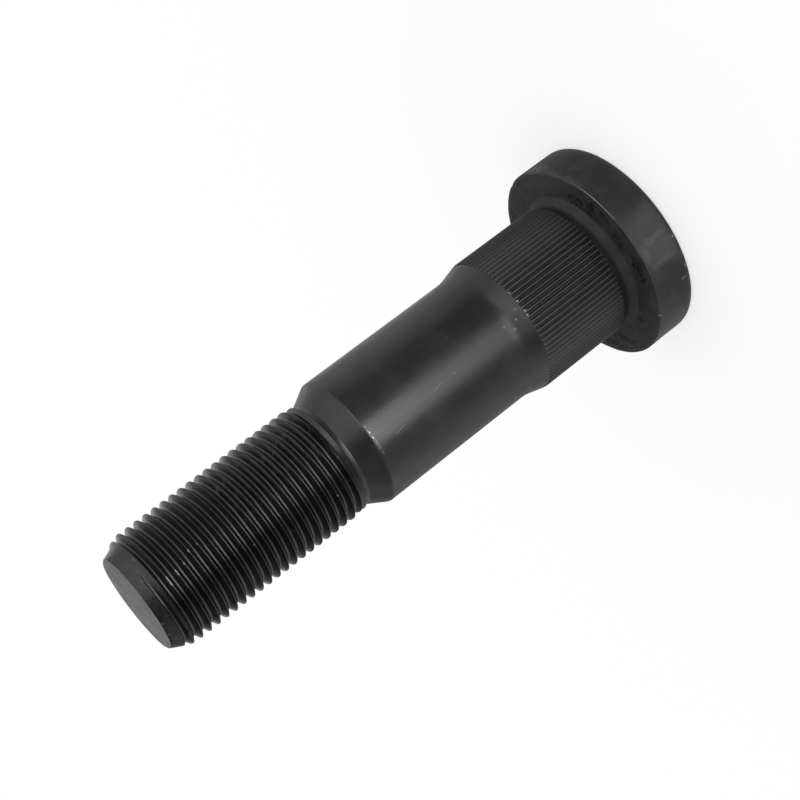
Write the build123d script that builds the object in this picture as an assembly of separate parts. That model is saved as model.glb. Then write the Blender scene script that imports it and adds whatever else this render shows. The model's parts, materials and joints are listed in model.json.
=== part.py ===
from build123d import *
import os
from math import pi, radians, tan

# Wheel stud: one piece of forged steel, pressed into a wheel hub from behind. A round head seats
# against the hub, a serrated band bites into the hub's hole, a plain shank centres the wheel, and a
# thread takes the wheel nut. It stands on its head: the origin is the centre of the head's back face
# and +Z runs up the stud to the thread's end. Sizes are in millimetres and angles in degrees, each
# angle measured from the stud's axis. Steps and depths are measured along the radius.

# Head
head_thickness = 8.5
head_back_round = 1.0       # edge of the hidden back face
seat_edge_break = 0.15      # small chamfer that leaves the seat's edge nearly sharp
seat_width = 6.15           # head's rim beyond the serration crests
collar_width = 1.5          # cone that widens from the relief groove down to the seat
collar_height = 1.5

# Relief groove between the seat and the serrated band
relief_length = 2.7         # from the seat to the end of the serrations
relief_depth = 0.15         # below the serration roots

# Serrated band
band_length = 17.9          # serrations at their full height
band_lead_angle = 15.0      # lead-in cone, which wears away the serrations' front ends
lead_blend = 8.0            # radius that blends the shank into the lead-in cone
serration_count = 85
serration_rise = 1.15       # crests beyond the shank
serration_depth = 0.5       # crest to root
crest_width = 0.2
root_width = 0.3
groove_start = 0.7          # how far up the lead-in cone each groove begins
groove_overrun = 0.4        # how far each groove's cut runs out over the relief groove

# Plain shank
shank_length = 32.1
shoulder_step = 1.5         # shank beyond the thread's crests
shoulder_angle = 30.0
shoulder_round = 1.2

# Neck where the thread runs out
neck_length = 1.55
neck_depth = 0.47           # below the thread's crests

# Thread, as a plain rod over its crests
thread_diameter = 22.0
thread_length = 40.3        # from the neck to the end face
thread_runout_angle = 30.0
end_chamfer_depth = 1.58
end_chamfer_angle = 22.0


def cone_length(step, angle):
    """Length along the axis of a cone that changes the radius by step."""
    return step / tan(radians(angle))


# Radii, built outward from the thread
thread_radius = thread_diameter / 2
neck_radius = thread_radius - neck_depth
end_radius = thread_radius - end_chamfer_depth
shank_radius = thread_radius + shoulder_step
crest_radius = shank_radius + serration_rise
root_radius = crest_radius - serration_depth
relief_radius = root_radius - relief_depth
head_radius = crest_radius + seat_width

# Heights, built upward from the head's back face
seat_height = head_thickness
band_bottom = seat_height + relief_length
band_top = band_bottom + band_length
shank_bottom = band_top + cone_length(serration_rise, band_lead_angle)
shank_top = shank_bottom + shank_length
neck_bottom = shank_top + cone_length(shoulder_step + neck_depth, shoulder_angle)
neck_top = neck_bottom + neck_length
thread_bottom = neck_top + cone_length(neck_depth, thread_runout_angle)
end_face = neck_top + thread_length
thread_top = end_face - cone_length(end_chamfer_depth, end_chamfer_angle)


def turned_blank():
    """The stud before its serrations: half a section turned about the axis."""
    sharp = 0.0
    corners = [
        (0, 0, sharp),
        (head_radius, 0, head_back_round),
        (head_radius, seat_height - seat_edge_break, sharp),
        (head_radius - seat_edge_break, seat_height, sharp),
        (relief_radius + collar_width, seat_height, sharp),
        (relief_radius, seat_height + collar_height, sharp),
        (relief_radius, band_bottom, sharp),
        (crest_radius, band_bottom, sharp),
        (crest_radius, band_top, sharp),
        (shank_radius, shank_bottom, lead_blend),
        (shank_radius, shank_top, shoulder_round),
        (neck_radius, neck_bottom, sharp),
        (neck_radius, neck_top, sharp),
        (thread_radius, thread_bottom, sharp),
        (thread_radius, thread_top, sharp),
        (end_radius, end_face, sharp),
        (0, end_face, sharp),
    ]
    points = [(radius, height) for radius, height, rounding in corners]
    rounds = [rounding for radius, height, rounding in corners]
    section = make_face(FilletPolyline(*points, radius=rounds, close=True))
    return revolve(Plane.XZ * section, Axis.Z)


def serration_groove():
    """One groove between two serrations: flat root, straight flanks and a square front end."""
    crest_pitch = 2 * pi * crest_radius / serration_count
    root_half = root_width / 2
    mouth_half = (crest_pitch - crest_width) / 2
    # The cut goes on past the crests along the same flanks, to leave a clean edge there.
    past_crest = 1.2
    outer_radius = root_radius + past_crest * serration_depth
    outer_half = root_half + past_crest * (mouth_half - root_half)
    outline = Polyline(
        (root_radius, -root_half),
        (outer_radius, -outer_half),
        (outer_radius, outer_half),
        (root_radius, root_half),
        close=True,
    )
    start = band_bottom - groove_overrun
    length = band_top + groove_start - start
    return Pos(0, 0, start) * extrude(make_face(outline), length)


# A serration stands on the X axis, so the first groove is half a pitch round from it.
half_pitch = 180 / serration_count
grooves = PolarLocations(0, serration_count, start_angle=half_pitch) * serration_groove()
wheel_stud = turned_blank() - grooves

os.makedirs("parts", exist_ok=True)
export_step(wheel_stud, "parts/wheel_stud.step")

print(f"wheel stud: {end_face:.2f} mm long, head {2 * head_radius:.2f} mm across")
print(f"shank {2 * shank_radius:.2f} mm, serrations {2 * crest_radius:.2f} mm over {serration_count} crests")
print(f"volume {wheel_stud.volume:.1f} cubic mm in {len(wheel_stud.solids())} solid")
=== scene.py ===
# %% [markdown]
# # A black wheel stud
# A wheel stud is one piece of forged steel: a round head, a band of serrations that bites into the hub,
# a plain shank and a fine rolled thread, all under a thin black coating. A CAD model of it is loaded
# first as a fixed frame. The CAD solid is true to size, but its thread is only a plain rod, so this
# lesson builds a finer skin on the same sizes, gives it its finishes and sets up a small studio.

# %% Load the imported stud
import json
from math import cos, pi, radians, sin, tan

import bpy
import numpy as np
from mathutils import Matrix, Vector, noise


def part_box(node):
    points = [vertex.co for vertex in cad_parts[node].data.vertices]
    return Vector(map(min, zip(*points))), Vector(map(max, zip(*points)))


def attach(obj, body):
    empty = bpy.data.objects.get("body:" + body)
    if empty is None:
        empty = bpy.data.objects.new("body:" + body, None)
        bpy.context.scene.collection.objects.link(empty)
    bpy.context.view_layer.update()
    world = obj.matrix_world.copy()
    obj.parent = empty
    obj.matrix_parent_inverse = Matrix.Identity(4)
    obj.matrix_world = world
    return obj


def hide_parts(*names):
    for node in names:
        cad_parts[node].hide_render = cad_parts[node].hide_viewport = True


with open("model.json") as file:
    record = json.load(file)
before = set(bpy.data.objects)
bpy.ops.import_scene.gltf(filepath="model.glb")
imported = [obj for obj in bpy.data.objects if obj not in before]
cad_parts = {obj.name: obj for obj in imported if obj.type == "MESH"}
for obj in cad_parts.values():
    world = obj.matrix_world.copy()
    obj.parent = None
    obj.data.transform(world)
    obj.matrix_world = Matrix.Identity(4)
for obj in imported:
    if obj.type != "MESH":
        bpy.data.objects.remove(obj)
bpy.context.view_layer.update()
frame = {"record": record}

MM = 0.001

# %% [markdown]
# ## Sizes
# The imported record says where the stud's thread, shank, serrated band and seat are. Reading them there,
# and not typing them again, keeps the skin on the frame if the CAD model changes. All the shapes below
# are worked out in millimetres, with heights above the head's back face, and are scaled to Blender's
# metres once, when the mesh is made.

# %% Read the main sizes from the frame
mounts = {mount["name"]: mount for mount in frame["record"]["mounts"]}


def round_mount(name):
    """Radius, lowest height and highest height of a round mount, in millimetres."""
    mount = mounts[name]
    middle = mount["pos_m"][2] / MM
    half = mount["dims"]["length_mm"] / 2
    return mount["dims"]["r_mm"], middle - half, middle + half


thread_radius = round_mount("thread")[0]
shank_radius, shank_bottom, shank_top = round_mount("shank")
band_radius, band_bottom, band_top = round_mount("press_band")
seat_height = mounts["head_seat"]["pos_m"][2] / MM

low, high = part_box("wheel_stud")
stud_top = high.z / MM
head_radius = min(-low.x, -low.y, high.x, high.y) / MM
print(f"stud {stud_top:.2f} mm tall, head {2 * head_radius:.2f} mm across")

# %% [markdown]
# ## Rings and sewing
# Everything on the stud runs round one axis, so the skin is a stack of rings, from the centre of the end
# face down to the centre of the head's back. A lathe (Blender's Screw modifier) could spin a profile,
# but it could not make the helix or the serrations. Writing the rings as arrays can, and the result
# is one closed mesh. The serrated band needs more points round it than the plain shank, so the sewing
# lets one ring have a whole multiple of the other's points. Each point also carries a number that says
# how much handling has worn the coat there, for the finishes to use later.

# %% The skin that all the rings go into
class Skin:
    """Points and faces of one closed mesh, in millimetres, built ring by ring from the top down."""

    def __init__(self):
        self.points = []
        self.wear = []
        self.faces = []
        self.finishes = []

    def point(self, place, wear=0.0):
        """Adds one point and gives back its number."""
        self.points.append(place)
        self.wear.append(wear)
        return len(self.points) - 1

    def ring(self, angles, radii, heights, wear=0.0):
        """Adds a ring of points and gives back their numbers."""
        radii, heights, wear = [np.broadcast_to(part, angles.shape) for part in (radii, heights, wear)]
        placed = np.column_stack((radii * np.cos(angles), radii * np.sin(angles), heights))
        return [self.point(place, worn) for place, worn in zip(placed.tolist(), wear.tolist())]

    def face(self, corners, finish):
        """Adds a face. Corners that coincide count once, and a face with no area left is dropped."""
        kept = [corner for place, corner in enumerate(corners) if corner != corners[place - 1]]
        if len(kept) > 2:
            self.faces.append(kept)
            self.finishes.append(finish)

    def sew(self, upper, lower, finish):
        """Joins two rings with quads, or with fans where one ring is finer."""
        panels = min(len(upper), len(lower))
        for panel in range(panels):
            top = self.stretch(upper, panel, panels)
            bottom = self.stretch(lower, panel, panels)
            if len(top) == len(bottom):
                self.face([top[0], bottom[0], bottom[1], top[1]], finish)
                continue
            fine = max(top, bottom, key=len)
            middle = len(fine) // 2
            for place in range(len(fine) - 1):
                side = 0 if place < middle else 1
                if fine is bottom:
                    self.face([top[side], bottom[place], bottom[place + 1]], finish)
                else:
                    self.face([top[place], bottom[side], top[place + 1]], finish)
            if fine is bottom:
                self.face([top[0], bottom[middle], top[1]], finish)
            else:
                self.face([top[middle], bottom[0], bottom[1]], finish)

    def stretch(self, ring, panel, panels):
        """The points of a ring along one of its equal panels, both ends included."""
        share = len(ring) // panels
        return [ring[(panel * share + step) % len(ring)] for step in range(share + 1)]

    def close(self, ring, height, finish, facing_up):
        """Closes the hole inside a ring with a fan of faces round a point on the axis."""
        centre = self.point([0.0, 0.0, height])
        for place, point in enumerate(ring):
            after = ring[(place + 1) % len(ring)]
            self.face([centre, point, after] if facing_up else [centre, after, point], finish)


def round_angles(count):
    """Evenly spaced angles of a ring, starting at +X."""
    return np.arange(count) * 2 * pi / count


skin = Skin()
SERRATIONS = 85
COARSE = round_angles(2 * SERRATIONS)
HEAD_ROUND = round_angles(4 * SERRATIONS)
TURNED, ROLLED, SERRATED, SEAT, FORGED, CUT = range(6)
print(len(COARSE), "points round the shank and thread,", len(HEAD_ROUND), "round the head")

# %% [markdown]
# ## Small helpers for shapes
# Places round the stud are easiest to think of from the side that faces the camera, in degrees, and
# depths from the end face. Dips and smooth steps shape the nicks, the worn edges and the thread's run-out,
# and patches of Blender's own noise, which gives the same answer every time, make the small dings.

# %% Angles, dips and steps
CAMERA_SIDE = radians(-90)


def facing(degrees_round):
    """Angle of a place on the stud, counted from the side that faces the camera."""
    return CAMERA_SIDE - radians(degrees_round)


def dip(angles, centre, width):
    """1 at the angle centre, falling smoothly to 0 at half the width on either side."""
    apart = np.abs((angles - centre + pi) % (2 * pi) - pi)
    return np.where(apart < width / 2, 0.5 + 0.5 * np.cos(2 * pi * apart / width), 0.0)


def soft_step(value, start, end):
    """0 before start, 1 after end and a smooth climb between them."""
    share = np.clip((value - start) / (end - start), 0, 1)
    return share * share * (3 - 2 * share)


def patchy(points, octaves, threshold):
    """Patches of noise at each point: 0 for most of them and up to about 1 inside a patch."""
    found = np.array([noise.fractal(Vector(point), 1.0, 2.0, octaves) for point in points])
    return np.clip(found - threshold, 0, None)


# %% [markdown]
# ## End face
# The stud was cropped flat at its end, and the edge was only just broken. A few rings are enough for
# the flat. Knocks from handling have taken small bites out of the edge and have flattened one side of the
# lead cone. What they took off is written as one function of the angle and the depth, so the rim here
# and the cone further down agree.

# %% Make the end face and its edge
END_RADIUS = 9.42
END_FACE_SHARES = (0.15, 0.4, 0.65, 0.85, 0.94)
EDGE_BREAK = 0.05
EDGE_WEAR = 0.3
# Bites out of the edge: degrees round from the camera, width in degrees, how much they took off the rim,
# and how fast that falls off down the cone.
RIM_BITES = [
    (-60, 9, 0.20, 0.3),
    (-12, 6, 0.05, 0.3),
    (33, 7, 0.10, 0.8),
    (48, 7, 0.10, 0.8),
    (92, 100, 0.27, 0.14),
    (150, 12, 0.12, 0.3),
]
# The flat on the cone's side: degrees round, width in degrees and depth. It fades out between two depths.
SIDE_FLAT = (-98, 84, 0.5)
SIDE_FLAT_FADE = (1.8, 2.6)


def lead_loss(angles, depth):
    """What handling has taken off the lead cone's radius, at each angle and depth below the end face."""
    place, width, most = SIDE_FLAT
    lost = most * dip(angles, facing(place), radians(width)) * (1 - soft_step(depth, *SIDE_FLAT_FADE))
    for place, width, most, fall in RIM_BITES:
        lost = lost + np.clip(most * dip(angles, facing(place), radians(width)) - fall * depth, 0, None)
    return lost


rim_loss = lead_loss(COARSE, 0.0)
rings = []
for share in END_FACE_SHARES:
    rings.append(skin.ring(COARSE, share * END_RADIUS, stud_top))
rings.append(skin.ring(COARSE, END_RADIUS - EDGE_BREAK - rim_loss, stud_top, wear=EDGE_WEAR))
rings.append(skin.ring(COARSE, END_RADIUS - rim_loss, stud_top - EDGE_BREAK, wear=EDGE_WEAR))
skin.close(rings[0], stud_top, CUT, facing_up=True)
for upper, lower in zip(rings[:-1], rings[1:]):
    skin.sew(upper, lower, CUT)
end_edge = rings[-1]
print("end face:", len(skin.faces), "faces,", len(RIM_BITES), "bites out of its edge")

# %% [markdown]
# ## Rolled thread
# The thread is 7/8 inch with 14 turns to the inch, right-hand, rolled and not cut, so its crests
# and roots are narrow flats with rounded corners. A plain grid of rings would need very many rows to draw
# a crest that climbs across it. Here the rows themselves climb: each row follows the helix, so one row
# lies along the crest, one along the root and a few between. On the lead cone the crests are cut off
# by the cone. One row on each flank slides to the very place where the flank meets the cone, so the cut
# edge stays crisp. At the other end the bevelled edge of the rolling die has closed the last groove with a
# short ramp up to a narrow land, and a step leads from there down to the neck.

# %% Shape of the thread
PITCH = 25.4 / 14
FLANK_TILT = radians(58.5)
FLANK_SLOPE = tan(FLANK_TILT)
CREST_FLAT = 0.045
CREST_ROUND = 0.035
ROOT_FLAT = 0.13
ROOT_ROUND = 0.12
CREST_TILTS = [0.0, FLANK_TILT / 2, FLANK_TILT]
ROOT_TILTS = [FLANK_TILT, 0.0]
SHARP_V = PITCH / 2 * FLANK_SLOPE
THREAD_DEPTH = SHARP_V - CREST_ROUND - ROOT_ROUND - (CREST_FLAT + ROOT_FLAT) * FLANK_SLOPE
root_start = PITCH / 2 - ROOT_FLAT
flank_start = CREST_FLAT + CREST_ROUND * sin(FLANK_TILT)
flank_drop = CREST_ROUND * (1 - cos(FLANK_TILT))
flank_end = root_start - ROOT_ROUND * sin(FLANK_TILT)

# Half of one thread, from the middle of its crest to the middle of its root. Each row says how far along
# the stud it lies from the crest, how far below it, how worn it is, and whether it slides on the flank. In
# the mirrored half a row that slides is counted from the next crest, and its 1 becomes -1.
FIXED, SLIDES_BELOW = 0, 1
half_rows = [(0.0, 0.0, 1.0, FIXED)]
for tilt in CREST_TILTS:
    worn = 1.0 if tilt == 0 else 0.0
    half_rows.append((CREST_FLAT + CREST_ROUND * sin(tilt), CREST_ROUND * (1 - cos(tilt)), worn, FIXED))
half_rows.append((flank_start, flank_drop, 0.0, SLIDES_BELOW))
for tilt in ROOT_TILTS:
    along = root_start - ROOT_ROUND * sin(tilt)
    half_rows.append((along, THREAD_DEPTH - ROOT_ROUND * (1 - cos(tilt)), 0.0, FIXED))
mirrored = [(PITCH - along, drop, worn, -slides) for along, drop, worn, slides in reversed(half_rows[1:])]
thread_rows = half_rows + [(PITCH / 2, THREAD_DEPTH, 0.0, FIXED)] + mirrored
print(f"pitch {PITCH:.3f} mm, depth {THREAD_DEPTH:.2f} mm, {len(thread_rows)} rows to a pitch")

# %% Where the thread starts and where it runs out
# Depths are counted from the end face. A slope is a change of radius for each millimetre along the stud.
LEAD_SLOPE = 0.40
CREST_DEPTH_AT_CAMERA = 19.29
LAST_CREST = (38.8, 39.85)
LAND_START = 39.75
LAND_SLOPE = 0.28
RAMP_SLOPE = 1.2
RUNOUT_DEPTH = 40.6
RUNOUT_STEP = 0.30
# The first groove: crest depths between which it begins and between which it settles to the usual depth,
# and how much deeper than usual it is after it has begun and before.
GROOVE_BEGINS = (0.98, 1.13)
GROOVE_SETTLES = (2.0, 4.5)
FIRST_GROOVE = 0.04
NO_GROOVE = -0.3
WHOLE_CREST = (thread_radius - END_RADIUS) / LEAD_SLOPE
# The two cones that fill the last groove: each one's depth, how far it is below the crests there, and
# its slope.
RUNOUT_CONES = [
    (RUNOUT_DEPTH, RUNOUT_STEP, LAND_SLOPE),
    (LAND_START, RUNOUT_STEP + LAND_SLOPE * (RUNOUT_DEPTH - LAND_START), RAMP_SLOPE),
]


def deepening(crest_depth):
    """How much deeper than usual a groove is: the first turn is rolled deepest and starts abruptly."""
    begun = soft_step(crest_depth, *GROOVE_BEGINS)
    settled = soft_step(crest_depth, *GROOVE_SETTLES)
    return 1 + NO_GROOVE + (FIRST_GROOVE - NO_GROOVE) * begun - FIRST_GROOVE * settled


def thread_surface(angles, height, drop):
    """Radius of the thread's surface, with its lead cone, what handling took off that and its run-out."""
    depth = stud_top - height
    lead = END_RADIUS + LEAD_SLOPE * depth - lead_loss(angles, depth)
    flattened = RUNOUT_STEP * soft_step(depth, *LAST_CREST)
    cones = [thread_radius - below - slope * (start - depth) for start, below, slope in RUNOUT_CONES]
    return np.maximum(np.minimum(thread_radius - np.maximum(drop, flattened), lead), np.minimum(*cones))


SLIDE_MARGIN = 0.03


def cut_on_flank(nearer, deeper, slides):
    """How far from its nearer crest a flank is cut, by the lead cone or near the neck by a run-out cone."""
    flank_top = deeper * (flank_drop - flank_start * FLANK_SLOPE)
    cone_gap = thread_radius - END_RADIUS - LEAD_SLOPE * (stud_top - nearer)
    reach = (cone_gap - flank_top) / (deeper * FLANK_SLOPE + slides * LEAD_SLOPE)
    last_reach = np.zeros_like(reach)
    for start, below, slope in RUNOUT_CONES:
        last_gap = below + slope * (start - stud_top + nearer)
        last_reach = np.maximum(last_reach, (last_gap - flank_top) / (FLANK_SLOPE + slides * slope))
    reach = np.where(stud_top - nearer > RUNOUT_DEPTH / 2, last_reach, reach)
    return np.clip(reach, flank_start + SLIDE_MARGIN, flank_end - SLIDE_MARGIN)


print(f"lead cone down to {WHOLE_CREST:.2f} mm, run-out from {LAST_CREST[0]} to {RUNOUT_DEPTH} mm")

# %% Lay the climbing rows out
grid_top = stud_top - EDGE_BREAK
grid_bottom = stud_top - RUNOUT_DEPTH
climb = PITCH * ((COARSE - CAMERA_SIDE) % (2 * pi)) / (2 * pi)
# The climb starts again from nothing on the camera's side, so the columns are taken in that order.
order = np.argsort(climb)
columns = COARSE[order]
climb = climb[order]
first_crest = stud_top - CREST_DEPTH_AT_CAMERA
while first_crest < grid_top + PITCH:
    first_crest += PITCH
turns = int((first_crest - grid_bottom) / PITCH) + 2

DING_DEPTH = 0.07
DING_SIZE = 1.3
DING_OCTAVES = 2
DING_THRESHOLD = 0.12
RUBBED_FROM = (WHOLE_CREST - 0.4, WHOLE_CREST + 0.2)
row_heights = []
row_radii = []
row_wear = []
for turn in range(turns):
    crests = first_crest - turn * PITCH + climb
    deeper = deepening(stud_top - crests)
    for along, drop, worn, slides in thread_rows:
        drops = drop * deeper
        if slides:
            nearer = crests if slides == SLIDES_BELOW else crests - PITCH
            reach = cut_on_flank(nearer, deeper, slides)
            drops = deeper * (flank_drop + (reach - flank_start) * FLANK_SLOPE)
            heights = nearer - slides * reach
        else:
            heights = crests - along
        radii = thread_surface(columns, heights, drops)
        # Handling has dinged the crests here and there, and the lower flanks and roots are out of reach.
        places = np.column_stack((radii * np.cos(columns), radii * np.sin(columns), heights)) / DING_SIZE
        reached = np.clip(1 - drop / THREAD_DEPTH, 0, 1)
        row_heights.append(heights)
        row_radii.append(radii - DING_DEPTH * reached * patchy(places, DING_OCTAVES, DING_THRESHOLD))
        # Only crests that the lead cone has left whole stand out far enough to be rubbed.
        row_wear.append(worn * soft_step(stud_top - crests, *RUBBED_FROM))
print("thread:", turns, "turns of", len(thread_rows), "rows and", len(columns), "columns")

# %% Sew the climbing rows
MERGE_WITHIN = 0.03
column_of = {int(column): place for place, column in enumerate(order)}
top_ring = [end_edge[int(column)] for column in order]
bottom_points = skin.ring(columns, thread_surface(columns, grid_bottom, 0.0), grid_bottom)
numbers = np.empty((len(row_heights), len(columns) + 1), dtype=int)
for row, (heights, radii, worn) in enumerate(zip(row_heights, row_radii, row_wear)):
    for column, angle in enumerate(columns):
        height = float(heights[column])
        if height > grid_top - MERGE_WITHIN:
            numbers[row, column] = top_ring[column]
        elif height < grid_bottom + MERGE_WITHIN:
            numbers[row, column] = bottom_points[column]
        else:
            radius = float(radii[column])
            place = [radius * cos(angle), radius * sin(angle), height]
            numbers[row, column] = skin.point(place, float(worn[column]))
# After one turn a row has climbed one pitch, where it meets the row that lies one pitch higher.
rows_per_turn = len(thread_rows)
numbers[:rows_per_turn, -1] = top_ring[0]
numbers[rows_per_turn:, -1] = numbers[:-rows_per_turn, 0]
for row in range(len(row_heights) - 1):
    for column in range(len(columns)):
        corners = [
            numbers[row, column],
            numbers[row + 1, column],
            numbers[row + 1, column + 1],
            numbers[row, column + 1],
        ]
        skin.face([int(corner) for corner in corners], ROLLED)
neck_ring = [bottom_points[column_of[column]] for column in range(len(COARSE))]
print("thread sewn,", len(skin.faces), "faces so far")

# %% [markdown]
# ## Neck, shoulder and shank
# Below the thread the blank is turned: a short neck, a 30 degree shoulder with a rounded corner and the
# plain shank, which swells into the lead-in cone of the serrated band through a wide blend. Each corner is
# a short arc of rings.

# %% Corners and profiles
def corner_arc(radius, height, rounding, angle_from, angle_to, steps):
    """Points of a rounded corner between two straight runs, as (radius, height) pairs.

    Each angle is the direction of travel, 0 straight down the stud and 90 degrees straight outward.
    """
    turn = angle_to - angle_from
    reach = abs(rounding * tan(turn / 2))
    points = [np.array([radius - reach * sin(angle_from), height + reach * cos(angle_from)])]
    length = 2 * abs(rounding) * abs(sin(turn / steps / 2))
    for step in range(steps):
        heading = angle_from + turn * (step + 0.5) / steps
        points.append(points[-1] + length * np.array([sin(heading), -cos(heading)]))
    return [(float(point[0]), float(point[1])) for point in points]


def sew_profile(above, profile, angles, finish):
    """Adds a ring for each (radius, height) of a profile and sews it to the ring above."""
    for radius, height in profile:
        below = skin.ring(angles, radius, height)
        skin.sew(above, below, finish)
        above = below
    return above


# %% Turn the shoulder and the shank
NECK_DEPTH = 0.60
NECK_STEP = 0.2
NECK_LIP = 0.04
NECK_LIP_LENGTH = 0.06
NECK_ROUND = 0.25
NECK_ROUND_STEPS = 3
SHOULDER_ANGLE = radians(30)
SHOULDER_SHARES = (0.3, 0.6, 0.8)
SHOULDER_ROUND = 1.2
SHANK_RINGS = 12
LEAD_IN_ANGLE = radians(15)
LEAD_IN_BLEND = 8.0
ROUND_STEPS = 6
neck_radius = thread_radius - NECK_DEPTH
shoulder_rise = shank_radius - neck_radius
shoulder_corner = shank_top + SHOULDER_ROUND * tan(SHOULDER_ANGLE / 2)
neck_corner = shoulder_corner + shoulder_rise / tan(SHOULDER_ANGLE)
lead_in_corner = shank_bottom - LEAD_IN_BLEND * tan(LEAD_IN_ANGLE / 2)

profile = [(neck_radius + NECK_LIP, grid_bottom - NECK_STEP)]
profile.append((neck_radius, grid_bottom - NECK_STEP - NECK_LIP_LENGTH))
profile += corner_arc(neck_radius, neck_corner, NECK_ROUND, 0.0, SHOULDER_ANGLE, NECK_ROUND_STEPS)
for share in SHOULDER_SHARES:
    height = neck_corner + share * (shoulder_corner - neck_corner)
    profile.append((neck_radius + share * shoulder_rise, height))
profile += corner_arc(shank_radius, shoulder_corner, SHOULDER_ROUND, SHOULDER_ANGLE, 0.0, ROUND_STEPS)
for height in np.linspace(shank_top, shank_bottom, SHANK_RINGS)[1:-1]:
    profile.append((shank_radius, float(height)))
profile += corner_arc(shank_radius, lead_in_corner, LEAD_IN_BLEND, 0.0, LEAD_IN_ANGLE, ROUND_STEPS)
shank_end = sew_profile(neck_ring, profile, COARSE, TURNED)
print("shank turned with", len(profile), "rings")

# %% [markdown]
# ## Serrations
# The band's straight serrations were rolled into the blank. Each one gets eight points across it: a
# narrow crest, two flanks and a slightly hollow root. The grooves begin with a square step part of the way
# up the lead-in cone, while the crests go on along the cone to their full height, and at the head's
# end the serrations stop square over the relief groove.

# %% Shape of the serrations
SERRATION_DEPTH = 0.5
GROOVE_START = 0.7
# Eight points across one serration, from crest to crest: their shares of its width, their shares of its
# depth, and their wear.
ACROSS = np.array([0, 0.06, 0.13, 0.38, 0.5, 0.62, 0.87, 0.94])
DROP = np.array([0, 0.05, 0.24, 0.95, 1.0, 0.95, 0.24, 0.05])
CREST_WEAR = np.array([1, 0.8, 0, 0, 0.1, 0, 0, 0.8])
UNEVEN_CRESTS = 0.015
band_angles = ((np.arange(SERRATIONS)[:, None] + ACROSS) * 2 * pi / SERRATIONS).ravel()
chance = np.random.RandomState(7)
crest_loss = np.repeat(chance.uniform(0.0, UNEVEN_CRESTS, SERRATIONS), len(ACROSS))
band_drop = np.tile(DROP, SERRATIONS) * SERRATION_DEPTH + crest_loss * (1 - np.tile(DROP, SERRATIONS))
band_radii = band_radius - band_drop
band_wear = np.tile(CREST_WEAR, SERRATIONS)
groove_top = band_top + GROOVE_START
print(f"serrations {SERRATION_DEPTH} mm deep, {2 * pi * band_radius / SERRATIONS:.2f} mm apart")


# %% Roll the serrations
def lead_in_radius(height):
    """Radius of the lead-in cone at a height."""
    return shank_radius + (lead_in_corner - height) * tan(LEAD_IN_ANGLE)


COARSE_ABOVE = 0.8
FINE_ABOVE = 0.3
STEP_LENGTH = 0.03
END_ROUND = 0.02
BAND_RINGS = 6
RELIEF_DEPTH = 0.15
relief_radius = band_radius - SERRATION_DEPTH - RELIEF_DEPTH
start_height = groove_top + COARSE_ABOVE
above = sew_profile(shank_end, [(lead_in_radius(start_height), start_height)], COARSE, TURNED)
smooth = [(lead_in_radius(height), height) for height in (groove_top + FINE_ABOVE, groove_top)]
above = sew_profile(above, smooth, band_angles, TURNED)
step_height = groove_top - STEP_LENGTH
band_rings = [(np.minimum(lead_in_radius(step_height), band_radii), step_height, band_wear)]
for height in np.linspace(band_top, band_bottom + 2 * END_ROUND, BAND_RINGS):
    band_rings.append((band_radii, height, band_wear))
band_rings.append((band_radii - END_ROUND, band_bottom + END_ROUND / 2, 0.5 * band_wear))
band_rings.append((relief_radius, band_bottom, 0.0))
for radii, height, worn in band_rings:
    below = skin.ring(band_angles, radii, height, worn)
    skin.sew(above, below, SERRATED)
    above = below
band_end = above
print(SERRATIONS, "serrations,", len(skin.faces), "faces so far")

# %% [markdown]
# ## Head
# A short relief groove and a conical collar lead from the serrations to the flat seat under the head.
# The head itself was forged, so its seat carries pressed-in scale and its rim shallow dents, and its
# front edge is uneven. These are moved into the mesh, and only inward, so that the head never grows past
# the CAD box. On the seat the wear number says how far the scale was pressed in, and beside the collar it
# also carries painted shadow of the collar.

# %% Turn the collar
RELIEF_RING_BELOW = 0.4
COLLAR_WIDTH = 1.5
COLLAR_HEIGHT = 1.5
COLLAR_SHARES = (0.0, 0.05, 0.5, 1.0)
collar = [(relief_radius, band_bottom - RELIEF_RING_BELOW)]
for share in COLLAR_SHARES:
    collar.append((relief_radius + share * COLLAR_WIDTH, seat_height + (1 - share) * COLLAR_HEIGHT))
above = sew_profile(band_end, collar, HEAD_ROUND, SEAT)
print("collar turned with", len(collar), "rings")

# %% Scale, dents and chips
HEAD_OCTAVES = 3
SCALE_DEPTH = 0.08
SCALE_LENGTH = 1.4
SCALE_WIDTH = 1.5
SCALE_GAIN = 4
SCALE_ELSEWHERE = 0.1
PATCH_EDGE = (1.0, 0.2)
# Where scale was pressed in: degrees round from the camera, width in degrees, and middle and half width
# of the patch along the radius. The first patch, beside the collar, also paints the collar's shadow as
# dark scale.
SCALE_AND_SHADOW_PLACES = [
    (-30, 44, 15.6, 1.6),
    (-21, 40, 17.7, 1.8),
    (4, 24, 16.2, 1.9),
    (24, 36, 16.8, 1.9),
    (72, 26, 15.8, 1.0),
    (118, 70, 17.0, 2.0),
    (-150, 90, 16.5, 2.2),
]
DENT_DEPTH = 0.05
DENT_SIZE = 5.0
DENT_THRESHOLD = 0.05
# Chips out of the head's front edge: degrees round from the camera, width in degrees, and depth.
EDGE_CHIPS = [
    (53.5, 6, 0.22),
    (-22, 5, 0.05),
    (-9, 4, 0.06),
    (17, 6, 0.07),
    (-100, 5, 0.25),
    (170, 8, 0.2),
]


def head_patches(radius, level, threshold):
    """Patches of noise round the head, on a ring at a radius and level in the noise's own units."""
    levels = np.full(len(HEAD_ROUND), level)
    places = np.column_stack((radius * np.cos(HEAD_ROUND), radius * np.sin(HEAD_ROUND), levels))
    return patchy(places, HEAD_OCTAVES, threshold)


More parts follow.
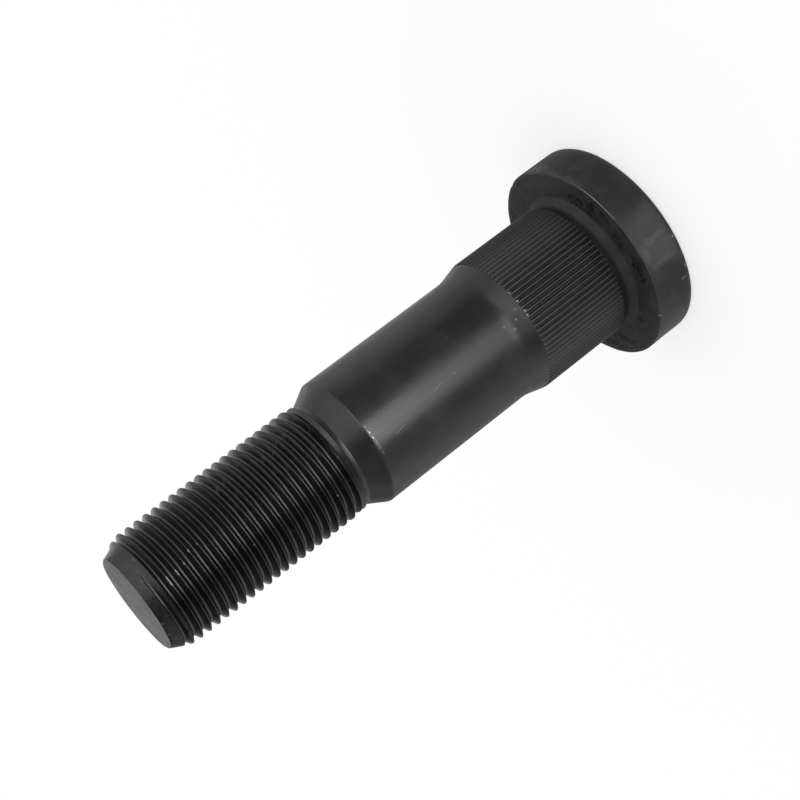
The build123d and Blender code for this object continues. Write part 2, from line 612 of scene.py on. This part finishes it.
def pressed_scale(radius):
    """Scale pressed into the seat, from 0 to 1: patches of noise, nearly all in a few places; the one
    beside the collar also paints its shadow.
    """
    patches = head_patches(radius / SCALE_LENGTH, radius / SCALE_WIDTH, 0.0)
    reach = np.full(len(HEAD_ROUND), SCALE_ELSEWHERE)
    for place, width, middle, half_width in SCALE_AND_SHADOW_PLACES:
        off_middle = (radius - middle) / half_width
        within = soft_step(off_middle * off_middle, *PATCH_EDGE)
        reach += dip(HEAD_ROUND, facing(place), radians(width)) * within
    return np.clip(SCALE_GAIN * patches * reach, 0, 1)


def dents(height):
    """Shallow dents in the head's rim."""
    return head_patches(head_radius / DENT_SIZE, height / DENT_SIZE, DENT_THRESHOLD)


FRONT_BREAK_LEAST = 0.05
FRONT_BREAK_NOISE = 0.06
FRONT_NOISE_RADIUS = 9
FRONT_NOISE_THRESHOLD = -0.1
uneven = head_patches(FRONT_NOISE_RADIUS, 0.0, FRONT_NOISE_THRESHOLD)
front_break = FRONT_BREAK_LEAST + FRONT_BREAK_NOISE * uneven
for place, width, depth in EDGE_CHIPS:
    front_break += depth * dip(HEAD_ROUND, facing(place), radians(width))
print(f"front edge broken by {front_break.min():.2f} to {front_break.max():.2f} mm")

# %% Forge the seat and its edge
SEAT_RINGS = 22
SEAT_MARGIN = 0.4
seat_start = relief_radius + COLLAR_WIDTH
for share in np.linspace(0, 1, SEAT_RINGS + 1)[1:-1]:
    radius = seat_start + share * (head_radius - SEAT_MARGIN - seat_start)
    pressed = pressed_scale(radius)
    below = skin.ring(HEAD_ROUND, radius, seat_height - SCALE_DEPTH * pressed, wear=pressed)
    skin.sew(above, below, SEAT)
    above = below
front_edge = [(head_radius - front_break, seat_height), (head_radius, seat_height - front_break)]
for radii, height in front_edge:
    below = skin.ring(HEAD_ROUND, radii, height, wear=1.0)
    skin.sew(above, below, FORGED)
    above = below
print("seat and front edge,", len(skin.faces), "faces so far")

# %% Forge the rim and the back
RIM_RINGS = 11
RIM_MARGIN = 0.6
RIM_FADE = 1.0
BACK_ROUND = 1.0
BACK_ROUND_TURNS = (22.5, 45, 67.5, 90)
BACK_SHARES = (0.9, 0.75, 0.5, 0.25)
rim_top = seat_height - RIM_MARGIN
for height in np.linspace(rim_top, BACK_ROUND, RIM_RINGS):
    # The dents fade out toward both edges of the rim.
    strength = soft_step(height, rim_top, rim_top - RIM_FADE)
    strength = strength * soft_step(height, BACK_ROUND, BACK_ROUND + RIM_FADE)
    below = skin.ring(HEAD_ROUND, head_radius - DENT_DEPTH * strength * dents(height), height)
    skin.sew(above, below, FORGED)
    above = below
back = []
for turn in np.radians(BACK_ROUND_TURNS):
    back.append((head_radius - BACK_ROUND * (1 - cos(turn)), BACK_ROUND * (1 - sin(turn))))
for share in BACK_SHARES:
    back.append((share * head_radius, 0.0))
above = sew_profile(above, back, HEAD_ROUND, FORGED)
skin.close(above, 0.0, FORGED, facing_up=False)
print("head forged,", len(skin.faces), "faces in all")

# %% [markdown]
# ## One mesh
# The arrays become one mesh, with the wear stored on its points. Edges sharper than a set angle are shaded
# as edges. Everywhere else the shading is smooth, and a Weighted Normal modifier lets the larger faces
# lead, so that the flanks of the thread stay flat right up to their narrow rounded crests.

# %% Make the mesh
SHARP_ANGLE = radians(35)
mesh = bpy.data.meshes.new("wheel_stud_skin")
mesh.from_pydata((np.array(skin.points) * MM).tolist(), [], skin.faces)
mesh.update()
mesh.polygons.foreach_set("material_index", skin.finishes)
mesh.polygons.foreach_set("use_smooth", [True] * len(mesh.polygons))
mesh.set_sharp_from_angle(angle=SHARP_ANGLE)
mesh.attributes.new("wear", "FLOAT", "POINT").data.foreach_set("value", skin.wear)
stud = bpy.data.objects.new("wheel_stud_skin", mesh)
bpy.context.scene.collection.objects.link(stud)
flat_faces = stud.modifiers.new("flat_faces", "WEIGHTED_NORMAL")
flat_faces.mode = "FACE_AREA"
flat_faces.keep_sharp = True
mesh.calc_loop_triangles()
print("skin:", len(mesh.vertices), "points,", len(mesh.loop_triangles), "triangles")

# %% [markdown]
# ## Shader sums in Python
# A finish is a small sum over a few patterns. Writing that sum as Python keeps it readable, so one small
# class wraps a node's output and turns + - * / into Math nodes, and another makes any other node.

# %% Wires and finishes
class Wire:
    """A node's output that sums can be written with. Each operator adds a Math node."""

    def __init__(self, finish, socket):
        self.finish = finish
        self.socket = socket

    def sum_node(self, operation, first, second):
        """A Math node over two values."""
        return self.finish.node("ShaderNodeMath", {"operation": operation}, {0: first, 1: second})

    def __add__(self, other):
        return self.sum_node("ADD", self, other)

    def __radd__(self, other):
        return self.sum_node("ADD", other, self)

    def __sub__(self, other):
        return self.sum_node("SUBTRACT", self, other)

    def __rsub__(self, other):
        return self.sum_node("SUBTRACT", other, self)

    def __mul__(self, other):
        return self.sum_node("MULTIPLY", self, other)

    def __rmul__(self, other):
        return self.sum_node("MULTIPLY", other, self)

    def __truediv__(self, other):
        return self.sum_node("DIVIDE", self, other)

    def larger(self, other):
        """The larger of two values."""
        return self.sum_node("MAXIMUM", self, other)

    def step(self, start, end):
        """0 before start, 1 after end, with a smooth climb between. Start may be the larger one."""
        sockets = {"Value": self, "From Min": start, "From Max": end}
        return self.finish.node("ShaderNodeMapRange", {"interpolation_type": "SMOOTHSTEP"}, sockets)


class Finish:
    """A material under construction."""

    def __init__(self, name):
        self.material = bpy.data.materials.new(name)
        self.material.use_nodes = True
        self.tree = self.material.node_tree
        self.tree.nodes.clear()

    def node(self, kind, settings=None, sockets=None, output=0):
        """Adds a node: its settings are set first, then each socket gets its value or link."""
        made = self.tree.nodes.new(kind)
        for name, value in (settings or {}).items():
            setattr(made, name, value)
        for name, value in (sockets or {}).items():
            socket = self.find(made.inputs, name)
            if isinstance(value, Wire):
                self.tree.links.new(value.socket, socket)
            else:
                socket.default_value = value
        return Wire(self, self.find(made.outputs, output)) if made.outputs else made

    def find(self, sockets, name):
        """A socket by its place, or by its identifier or name."""
        if isinstance(name, int):
            return sockets[name]
        for socket in sockets:
            if socket.identifier == name:
                return socket
        return sockets[name]


# %% [markdown]
# ## Patterns on the stud
# The patterns are laid out in millimetres on the stud itself, so they stay put when the camera moves.
# Most are noise, stretched along the stud where a mark runs that way. Marks that sit at one place, such as
# a knock on an edge, are soft ovals placed by their angle and their depth below the end face.

# %% Places, grains and marks
GRAIN_ROUGHNESS = 0.55
MARK_EDGE = (1.0, 0.2)


def place_on_stud(finish):
    """The point's place on the stud in millimetres, as a vector."""
    metres = finish.node("ShaderNodeTexCoord", output="Object")
    return finish.node("ShaderNodeVectorMath", {"operation": "SCALE"}, {0: metres, "Scale": 1 / MM})


def round_and_down(finish, place):
    """The point's angle from the camera's side in radians, and its depth below the end face."""
    x, y, z = [finish.node("ShaderNodeSeparateXYZ", None, {0: place}, output=axis) for axis in range(3)]
    turn = finish.node("ShaderNodeMath", {"operation": "ARCTAN2"}, {0: 0.0 - x, 1: 0.0 - y})
    return turn, stud_top - z


def from_axis(finish, place):
    """The point's distance from the stud's axis."""
    flat = finish.node("ShaderNodeVectorMath", {"operation": "MULTIPLY"}, {0: place, 1: (1, 1, 0)})
    return finish.node("ShaderNodeVectorMath", {"operation": "LENGTH"}, {0: flat}, output="Value")


def grain(finish, vector, size, detail=3.0, stretch=(1, 1, 1)):
    """Noise from 0 to 1 with features of about the given size in millimetres, stretched along each axis."""
    shrink = [1 / (size * part) for part in stretch]
    scaled = finish.node("ShaderNodeVectorMath", {"operation": "MULTIPLY"}, {0: vector, 1: shrink})
    sockets = {"Vector": scaled, "Scale": 1.0, "Detail": detail, "Roughness": GRAIN_ROUGHNESS}
    return finish.node("ShaderNodeTexNoise", {"noise_dimensions": "3D"}, sockets)


def marks(turn, down, ovals):
    """1 inside soft ovals, each given by degrees round, depth, half width in degrees and half height."""
    total = 0.0
    for degrees_round, depth, half_width, half_height in ovals:
        across = (turn - radians(degrees_round)) / radians(half_width)
        along = (down - depth) / half_height
        total = total + (across * across + along * along).step(*MARK_EDGE)
    return total


def worn_points(finish):
    """The wear stored on the mesh's points."""
    return finish.node("ShaderNodeAttribute", {"attribute_name": "wear"}, output="Fac")


def blend_colours(finish, share, first, second):
    """A mix of two colours, by a share from 0 to 1."""
    sockets = {"Factor_Float": share, "A_Color": first, "B_Color": second}
    return finish.node("ShaderNodeMix", {"data_type": "RGBA"}, sockets, output="Result_Color")


def surface(finish, colour, roughness, metallic, height, bump_mm, specular=0.4):
    """The shader itself, with a bump from a height pattern."""
    bump = {"Height": height, "Distance": bump_mm * MM, "Strength": 1.0}
    normal = finish.node("ShaderNodeBump", None, bump)
    sockets = {
        "Base Color": colour,
        "Roughness": roughness,
        "Metallic": metallic,
        "Normal": normal,
        "Specular IOR Level": specular,
    }
    shader = finish.node("ShaderNodeBsdfPrincipled", None, sockets)
    finish.node("ShaderNodeOutputMaterial", None, {"Surface": shader})
    return finish.material


# %% [markdown]
# ## The black coat
# The steel is under a thin black phosphate coat with an oil film: very dark, close to neutral and satin.
# How deep the black looks depends on what made the surface below it. The thread was burnished by the
# rolling dies and is the darkest and smoothest, the turned shank is satin, and the serrations and the
# forged head are matte and a little paler. Where edges rub, the coat thins to grey, and in a few tiny
# spots to bare steel. Some of these paler spots, on the thread's crests and the head's rim, are also
# painted glints and highlights.

# %% Colours of the coat
def grey(level):
    """A nearly neutral grey of the coat."""
    return (level, level, 1.03 * level, 1)


BARE_STEEL = grey(0.5)


# %% The turned shank, shoulder and lead-in cone
# Marks are ovals: degrees round from the camera, depth, half width in degrees and half height. The scrapes
# run down the shank at a slant, in radians round it for each millimetre from their middle.
POLISHED = [(8, 50, 24, 9)]
SHOULDER_RUBS = [(1, 45.7, 6, 0.14), (6, 45.75, 5, 0.32), (12, 45.8, 6, 0.2), (19, 45.9, 8, 0.14)]
SHANK_FLECKS = [(2.7, 76.6, 0.7, 0.3), (3.3, 79.0, 0.8, 0.3), (9, 78, 0.6, 0.4), (-3.3, 80, 0.6, 0.3)]
SHANK_SCRAPES = [(8.5, 60.2, 0.4, 1.8), (8.5, 50.6, 0.4, 1.5), (11.5, 64.2, 0.4, 0.5)]
SHANK_SPECK = [(-19, 67.2, 0.8, 0.2)]
SCRAPE_SLANT = 0.0154
SCRAPE_MIDDLE = 60


def turned_black():
    """Even and satin, with faint scratches along the stud and a rubbed shoulder."""
    finish = Finish("turned_black")
    place = place_on_stud(finish)
    turn, down = round_and_down(finish, place)
    fine = grain(finish, place, 0.25)
    cloud = grain(finish, place, 5.0)
    along = grain(finish, place, 0.5, stretch=(1, 1, 18))
    scratch = grain(finish, place, 0.16, detail=1.0, stretch=(1, 1, 60)).step(0.66, 0.74)
    polished = marks(turn, down, POLISHED)
    rubbed = marks(turn, down, SHOULDER_RUBS) * grain(finish, place, 0.34).step(0.42, 0.62)
    flecks = marks(turn, down, SHANK_FLECKS)
    slanted = turn + SCRAPE_SLANT * (down - SCRAPE_MIDDLE)
    scrapes = marks(slanted, down, SHANK_SCRAPES).larger(0.6 * marks(turn, down, SHANK_SPECK))
    bare = (0.26 * rubbed).larger(0.22 * flecks).larger(0.16 * scrapes)
    coat = blend_colours(finish, cloud.step(0.35, 0.75) + 0.6 * scratch, grey(0.005), grey(0.013))
    colour = blend_colours(finish, bare, coat, BARE_STEEL)
    roughness = 0.34 + 0.16 * (cloud - 0.5) + 0.14 * (along - 0.5) - 0.05 * polished
    height = 0.6 * fine + 0.4 * along - 0.3 * scratch
    return surface(finish, colour, roughness, bare, height, 0.004)


# %% The rolled thread
# Knocked spots on the crests, laid bare and paler: partly real damage, partly painted glints where the
# crests catch the light.
CREST_KNOCKS_AND_GLINTS = [
    (1.6, 4.75, 6, 0.34),
    (-0.3, 6.55, 3.5, 0.3),
    (-2.7, 8.3, 1.6, 0.25),
    (-8.8, 10.1, 1.7, 0.25),
    (-9, 11.85, 1.3, 0.2),
    (-26.3, 8.9, 1.3, 0.2),
    (21.5, 19.35, 1.2, 0.2),
    (4.5, 39.15, 1.2, 0.2),
    (-23.5, 36.9, 1, 0.18),
    (33, 35.7, 1.3, 0.2),
]
LEAD_KNOCKS = [(-34.5, 2.62, 3, 0.12), (-56, 2.6, 2, 0.12)]
RIM_KNOCKS = [(32.5, 0.25, 1.0, 0.3), (48, 0.22, 0.9, 0.28)]
# Radii between which a knock on the crests comes to its full strength.
KNOCK_REACH = (thread_radius - 0.24, thread_radius - 0.12)


def rolled_black():
    """Burnished and very dark, paler on the lead cone, with crests that nuts have rubbed bare in spots:
    partly real wear, partly painted glints.
    """
    finish = Finish("rolled_black")
    place = place_on_stud(finish)
    turn, down = round_and_down(finish, place)
    fine = grain(finish, place, 0.3)
    cloud = grain(finish, place, 2.5)
    beads = grain(finish, place, 0.4, detail=2.0)
    mottle = grain(finish, place, 0.9, detail=4.0)
    crest = worn_points(finish)
    knocks_and_glints = from_axis(finish, place).step(*KNOCK_REACH) * marks(turn, down, CREST_KNOCKS_AND_GLINTS)
    knocks_and_glints = knocks_and_glints * fine.step(0.3, 0.55) + 0.3 * marks(turn, down, LEAD_KNOCKS)
    knocks_and_glints = knocks_and_glints + 0.4 * marks(turn, down, RIM_KNOCKS)
    # Painted glints: knocked spots and beads along the crests are laid bare and paler, partly real rubbing,
    # partly painted glints.
    bare = (0.4 * knocks_and_glints).larger(0.4 * (crest * beads.step(0.7, 0.8)).step(0.3, 0.9))
    lead = down.step(2.6, 1.4) * mottle.step(0.4, 0.65)
    coat = blend_colours(finish, cloud.step(0.35, 0.75), grey(0.001), grey(0.0025))
    coat = blend_colours(finish, lead, coat, grey(0.008))
    rubbed = blend_colours(finish, crest * beads.step(0.45, 0.75), coat, grey(0.004))
    colour = blend_colours(finish, bare, rubbed, BARE_STEEL)
    roughness = 0.31 + 0.14 * (cloud - 0.5) + 0.1 * (beads - 0.5) + 0.1 * (mottle - 0.5)
    height = 0.4 * fine + 0.3 * beads + 0.3 * mottle
    return surface(finish, colour, roughness, 0.7 * bare, height, 0.007, specular=0.41)


# %% The serrated band
GROOVE_ENDS = [(-15.7, 81.1, 0.9, 0.4), (-7, 81.2, 0.9, 0.4), (2, 81.2, 0.9, 0.4), (5.8, 81.1, 0.9, 0.4)]
# The band is painted paler on both sides between these angles from the camera's side, in radians: painted
# light on grooves that lie in shade.
SIDE_LIGHT_BEGINS = (0.3, 0.65)
SIDE_LIGHT_ENDS = (1.15, 0.95)


def serrated_black():
    """Matte, with crests rubbed paler when the stud was handled and painted light on the grooves at both
    sides.
    """
    finish = Finish("serrated_black")
    place = place_on_stud(finish)
    turn, down = round_and_down(finish, place)
    fine = grain(finish, place, 0.2)
    cloud = grain(finish, place, 3.0)
    crest = worn_points(finish)
    bare = 0.85 * marks(turn, down, GROOVE_ENDS)
    away = turn.larger(-1 * turn)
    painted_side_light = away.step(*SIDE_LIGHT_BEGINS) * away.step(*SIDE_LIGHT_ENDS)
    coat = blend_colours(finish, cloud.step(0.35, 0.7), grey(0.008), grey(0.014))
    # Painted light: the coat turns paler towards both sides of the band, and the crests' rub is weaker
    # there.
    coat = blend_colours(finish, painted_side_light, coat, grey(0.026))
    rubbed = blend_colours(finish, crest * (0.5 + fine) * (1 - 0.55 * painted_side_light), coat, grey(0.09))
    colour = blend_colours(finish, bare, rubbed, BARE_STEEL)
    roughness = 0.56 + 0.15 * (cloud - 0.5)
    return surface(finish, colour, roughness, bare, fine, 0.008, specular=0.3)


# %% The seat and its collar
# Each stain is placed by its distance from the axis in place of a depth. Its streaks are laid out on the
# seat unrolled at one radius and drawn out along the radius. The first stain, beside the collar, is painted
# shadow of the collar.
SEAT_STAINS_AND_SHADOW = [(-31, 15.7, 19, 1.5), (-20, 17.5, 8, 1.6), (3, 16.2, 7, 1.6), (25, 17, 11, 1.7)]
UNROLLED_AT = 17
STREAK_SHRINK = 0.5
GROOVE_SHADE_BEGINS = (99.4, 99.7)
GROOVE_SHADE_ENDS = (101.2, 100.9)


def seat_black():
    """Dull, with dark scale pressed into it, painted shadow of the collar beside it and painted shade in
    the relief groove.
    """
    finish = Finish("seat_black")
    place = place_on_stud(finish)
    turn, down = round_and_down(finish, place)
    fine = grain(finish, place, 0.35)
    cloud = grain(finish, place, 3.0, detail=5.0)
    patch = grain(finish, place, 1.5, detail=4.0)
    # Painted shade: the relief groove is darkened where shade falls in it.
    groove = down.step(*GROOVE_SHADE_BEGINS) * down.step(*GROOVE_SHADE_ENDS)
    reach = from_axis(finish, place)
    unrolled = {"X": UNROLLED_AT * turn, "Y": STREAK_SHRINK * reach}
    streaks = grain(finish, finish.node("ShaderNodeCombineXYZ", None, unrolled), 1.1, detail=4.0)
    # Painted shadow: the first stain darkens the seat beside the collar, where its shadow falls.
    stains_and_shadow = 0.75 * marks(turn, reach, SEAT_STAINS_AND_SHADOW) * streaks.step(0.38, 0.6)
    scale = 0.3 * patch.step(0.5, 0.65) + 0.7 * worn_points(finish) + stains_and_shadow
    # The groove's painted shade is laid over the scale here.
    scale = scale.larger(0.8 * groove)
    coat = blend_colours(finish, cloud.step(0.35, 0.7), grey(0.024), grey(0.038))
    colour = blend_colours(finish, 0.8 * scale, coat, grey(0.006))
    roughness = 0.6 + 0.2 * (cloud - 0.5)
    return surface(finish, colour, roughness, 0.0, 0.5 * fine + 0.5 * patch, 0.02, specular=0.12)


# %% The forged rim and back of the head
FRONT_RUB = [(-21, 102.3, 15, 1.5)]
RIM_CHIPS = [
    (34.7, 110.0, 1.7, 0.4),
    (17, 109.9, 1.2, 0.3),
    (40.7, 108.9, 0.7, 0.7),
    (53.5, 102.4, 0.7, 0.25),
    (-69.5, 102.75, 3, 0.35),
]
# The rim's streaks and scuff are painted paler where the rim's highlight band falls: partly real scuffing,
# partly painted highlight.
RIM_STREAKS_AND_HIGHLIGHT = [(16.5, 103.2, 7, 1.3), (11.5, 106.4, 2.3, 3.2), (24.3, 106.2, 2.4, 3.6)]
RIM_SCUFF_AND_HIGHLIGHT = [(18, 106, 8.5, 4.4)]
SIDE_SCUFF = [(-70, 103.2, 11, 1.8)]
EDGE_SCUFF = [(-46, 102.6, 20, 0.8)]


def forged_black():
    """Matte and mottled, with scuffing on the rim that also paints its highlight, and a rubbed front edge.
    """
    finish = Finish("forged_black")
    place = place_on_stud(finish)
    turn, down = round_and_down(finish, place)
    fine = grain(finish, place, 0.35)
    cloud = grain(finish, place, 3.0, detail=5.0)
    patch = grain(finish, place, 1.6, detail=4.0)
    front = marks(turn, down, FRONT_RUB) * grain(finish, place, 1.2).step(0.2, 0.42)
    edge = worn_points(finish).step(0.85, 1.0) * (0.06 + 0.55 * front)
    ragged_turn = turn + 0.12 * (patch - 0.5)
    ragged_down = down + 3.0 * (cloud - 0.5)
    chips = 0.4 * marks(turn, down, RIM_CHIPS) * patch.step(0.35, 0.5)
    streaks = 0.7 * marks(ragged_turn, ragged_down, RIM_STREAKS_AND_HIGHLIGHT) * fine.step(0.2, 0.6)
    scuffs_and_highlight = streaks + 0.35 * marks(ragged_turn, ragged_down, RIM_SCUFF_AND_HIGHLIGHT)
    beside = marks(turn, down, SIDE_SCUFF) + 0.4 * marks(turn, down, EDGE_SCUFF)
    scuffs_and_highlight = scuffs_and_highlight + beside * patch.step(0.36, 0.5)
    coat = blend_colours(finish, cloud.step(0.4, 0.7), grey(0.018), grey(0.03))
    # Painted highlight and real scuffing share one paler grey on the rim.
    scuffed_and_highlit = blend_colours(finish, scuffs_and_highlight, coat, grey(0.058))
    colour = blend_colours(finish, edge.larger(chips), scuffed_and_highlit, grey(0.3))
    roughness = 0.52 + 0.2 * (cloud - 0.5)
    return surface(finish, colour, roughness, 0.0, 0.5 * fine + 0.5 * patch, 0.02, specular=0.28)


# %% The cropped end face
def cut_black():
    """A little smoother and paler, with faint drag marks from the cropping."""
    finish = Finish("cut_black")
    place = place_on_stud(finish)
    fine = grain(finish, place, 0.3)
    cloud = grain(finish, place, 3.0)
    drag = grain(finish, place, 0.4, stretch=(1, 10, 1))
    coat = blend_colours(finish, cloud.step(0.3, 0.7), grey(0.008), grey(0.015))
    colour = blend_colours(finish, worn_points(finish), coat, grey(0.06))
    roughness = 0.385 + 0.2 * (cloud - 0.5) + 0.05 * (drag - 0.5)
    return surface(finish, colour, roughness, 0.0, 0.5 * fine + 0.5 * drag, 0.004, specular=0.4)


# %% Give each part of the skin its finish
for make in (turned_black, rolled_black, serrated_black, seat_black, forged_black, cut_black):
    mesh.materials.append(make())
print("finishes:", [material.name for material in mesh.materials])

# %% Put the skin on the frame
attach(stud, "root")
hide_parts("wheel_stud")
print(stud.name, "stands in for wheel_stud")

# %% [markdown]
# ## Camera
# The photograph looks at the stud from a little above the thread's end, and the stud lies at a slant across
# the picture. Here it stands on its head, as it would on a bench, so the camera is rolled instead. The
# camera's distances are in millimetres and its angles in degrees.

# %% Aim the camera
CAMERA_BACK = 270.67
CAMERA_ABOVE_TOP = 37.59
CAMERA_DOWN = 19.422
CAMERA_AZIMUTH = -0.0736
CAMERA_ROLL = -127.34
CAMERA_LENS = 73.66
camera = bpy.data.objects.new("camera", bpy.data.cameras.new("camera"))
bpy.context.scene.collection.objects.link(camera)
camera.data.sensor_width = 36.0
camera.data.lens = CAMERA_LENS
camera.location = Vector((0, -CAMERA_BACK, stud_top + CAMERA_ABOVE_TOP)) * MM
turn = Matrix.Rotation(radians(CAMERA_AZIMUTH), 3, "Z")
tilt = Matrix.Rotation(radians(90 - CAMERA_DOWN), 3, "X")
roll = Matrix.Rotation(radians(CAMERA_ROLL), 3, "Z")
camera.rotation_euler = (turn @ tilt @ roll).to_euler()
camera.data.clip_start = 0.01
camera.data.clip_end = 50.0
bpy.context.scene.camera = camera
print("camera at", [round(value, 4) for value in camera.location])

# %% [markdown]
# ## Studio
# A pale floor under a pale, even surround lights the stud softly from all sides. On a black coat the light
# itself hardly shows: what shows is what the coat mirrors. So plain cards stand round the stud, as in a
# product studio, one bright strip for the long highlight and dimmer ones round it. They are seen only in
# reflections, so the floor stays plain and no card casts a shadow.

# %% Lay the floor and light the surround
FLOOR_HALF = 6.0
FLOOR_WHITE = 0.8
SHADOW_SHARE = 0.35


def white(level):
    """A neutral white or grey."""
    return (level, level, level, 1)


floor_corners = [(-1, -1), (1, -1), (1, 1), (-1, 1)]
floor_mesh = bpy.data.meshes.new("floor")
floor_mesh.from_pydata([(FLOOR_HALF * x, FLOOR_HALF * y, 0) for x, y in floor_corners], [], [(0, 1, 2, 3)])
floor = bpy.data.objects.new("floor", floor_mesh)
bpy.context.scene.collection.objects.link(floor)

# Where it is seen, the floor is part paper, which keeps the shadow, and part glow, which makes it white.
floor_finish = Finish("floor_white")
seen = floor_finish.node("ShaderNodeLightPath", output="Is Camera Ray")
seen = seen + floor_finish.node("ShaderNodeLightPath", output="Is Glossy Ray")
seen = seen + floor_finish.node("ShaderNodeLightPath", output="Is Transmission Ray")
paper = floor_finish.node("ShaderNodeBsdfDiffuse", None, {"Color": white(FLOOR_WHITE)})
dimmed = floor_finish.node("ShaderNodeBsdfDiffuse", None, {"Color": white(SHADOW_SHARE)})
glow = floor_finish.node("ShaderNodeEmission", None, {"Strength": 1 - SHADOW_SHARE})
bright = floor_finish.node("ShaderNodeAddShader", None, {0: dimmed, 1: glow})
shown = floor_finish.node("ShaderNodeMixShader", None, {0: seen, 1: paper, 2: bright})
floor_finish.node("ShaderNodeOutputMaterial", None, {"Surface": shown})
floor_mesh.materials.append(floor_finish.material)

world = bpy.data.worlds.new("surround")
bpy.context.scene.world = world
world.use_nodes = True
world.node_tree.nodes["Background"].inputs["Color"].default_value = white(1)
world.node_tree.nodes["Background"].inputs["Strength"].default_value = 1.0
bpy.context.scene.view_settings.view_transform = "Standard"
print("floor", 2 * FLOOR_HALF, "m across")

# %% Stand the cards round the stud
CARD_STEPS = 24
CARD_REACH = 1.0
CARD_LIFT = 0.0005
CARD_NEAR = 0.0205
CARD_FAR = 0.9
SKY_POINTS = 4


def floor_card(near, far):
    """Outline of a card that lies on the floor between two distances from the stud, in metres."""
    return [(near, CARD_LIFT), (far, CARD_LIFT)]


def sky(low_angle, high_angle):
    """Outline of a card that spans two elevations, in degrees, one metre away."""
    angles = np.radians(np.linspace(low_angle, high_angle, SKY_POINTS))
    return [(CARD_REACH * cos(angle), CARD_REACH * sin(angle)) for angle in angles]


def card(name, sector, outline, brightness):
    """A bent card round part of the stud, along an outline of (distance, height) in metres.

    The sector is a pair of angles in degrees, counted from the camera's side toward -X.
    """
    turns = [facing(angle) for angle in np.linspace(sector[0], sector[1], CARD_STEPS + 1)]
    points = [(away * cos(turn), away * sin(turn), up) for away, up in outline for turn in turns]
    faces = []
    for row in range(len(outline) - 1):
        for step in range(CARD_STEPS):
            first = row * (CARD_STEPS + 1) + step
            faces.append((first, first + 1, first + CARD_STEPS + 2, first + CARD_STEPS + 1))
    card_mesh = bpy.data.meshes.new(name)
    card_mesh.from_pydata(points, [], faces)
    made = bpy.data.objects.new(name, card_mesh)
    bpy.context.scene.collection.objects.link(made)
    finish = Finish(name)
    glow = finish.node("ShaderNodeEmission", None, {"Strength": brightness})
    finish.node("ShaderNodeOutputMaterial", None, {"Surface": glow})
    card_mesh.materials.append(finish.material)
    made.visible_camera = False
    made.visible_diffuse = False
    made.visible_shadow = False
    made.visible_transmission = False


# Each card's name, sector, outline and brightness.
CARDS = [
    ("strip_near", (-5, 30), floor_card(CARD_NEAR, 0.14), 2.5),
    ("strip_middle", (-8, 30), floor_card(0.14, 0.25), 5.2),
    ("strip_far", (-8, 34), floor_card(0.25, CARD_FAR), 8.5),
    ("front_floor", (-66, -9), floor_card(CARD_NEAR, 0.25), 0.34),
    ("front_far_floor", (-48, -9), floor_card(0.25, CARD_FAR), 0.32),
    ("right_far_floor", (-86, -48), floor_card(0.25, CARD_FAR), 0.25),
    ("right_near_floor", (-150, -66), floor_card(CARD_NEAR, 0.085), 0.45),
    ("left_floor", (34, 70), floor_card(CARD_NEAR, 0.25), 0.62),
    ("left_far_floor", (34, 70), floor_card(0.25, CARD_FAR), 0.85),
    ("far_left_floor", (70, 118), floor_card(CARD_NEAR, 0.25), 0.8),
    ("far_left_far_floor", (70, 118), floor_card(0.25, CARD_FAR), 1.5),
    ("back_left_near", (118, 172), floor_card(CARD_NEAR, 0.085), 0.28),
    ("back_left_floor", (118, 150), floor_card(0.085, CARD_FAR), 0.5),
    ("behind_left_floor", (150, 172), floor_card(0.085, CARD_FAR), 0.3),
    ("behind_floor", (172, 198), floor_card(CARD_NEAR, CARD_FAR), 0.2),
    ("back_right_near", (198, 245), floor_card(CARD_NEAR, 0.04), 0.64),
    ("back_right_middle", (198, 245), floor_card(0.04, 0.085), 0.35),
    ("back_right_floor", (198, 245), floor_card(0.085, 0.26), 0.72),
    ("back_right_far_floor", (198, 245), floor_card(0.26, CARD_FAR), 0.5),
    ("front_left_low", (3, 62), sky(1, 14), 0.2),
    ("front_left_sky", (8, 62), sky(14, 42), 0.4),
    ("left_sky", (62, 128), sky(8, 34), 0.6),
    ("left_rise", (62, 100), sky(34, 42), 0.2),
    ("front_mid_sky", (-2, 32), sky(42, 54), 0.4),
    ("left_mid_sky", (32, 100), sky(42, 54), 0.2),
    ("left_high_sky", (-12, 100), sky(54, 66), 0.15),
    ("back_left_low", (128, 166), sky(1, 14), 0.25),
    ("back_left_rise", (128, 172), sky(14, 27), 0.2),
    ("back_left_sky", (100, 180), sky(27, 66), 0.04),
    ("back_right_rise", (180, 245), sky(20, 36), 0.42),
    ("back_right_sky", (180, 245), sky(36, 66), 0.65),
    ("top_left_sky", (0, 180), sky(66, 89), 0.12),
    ("right_sky", (-115, -12), sky(52, 80), 2.0),
    ("right_low_panel", (-44, -2), [(0.5, 0.06), (0.5, 0.31)], 3.2),
    ("far_right_low_panel", (-90, -44), [(0.5, 0.06), (0.5, 0.31)], 1.5),
    ("right_middle_panel", (-90, 0), [(0.5, 0.31), (0.51, 0.40)], 1.3),
    ("right_panel", (-90, 2), [(0.51, 0.40), (0.52, 0.66)], 1.8),
]
for name, sector, outline, brightness in CARDS:
    card(name, sector, outline, brightness)
print(len(CARDS), "cards round the stud")
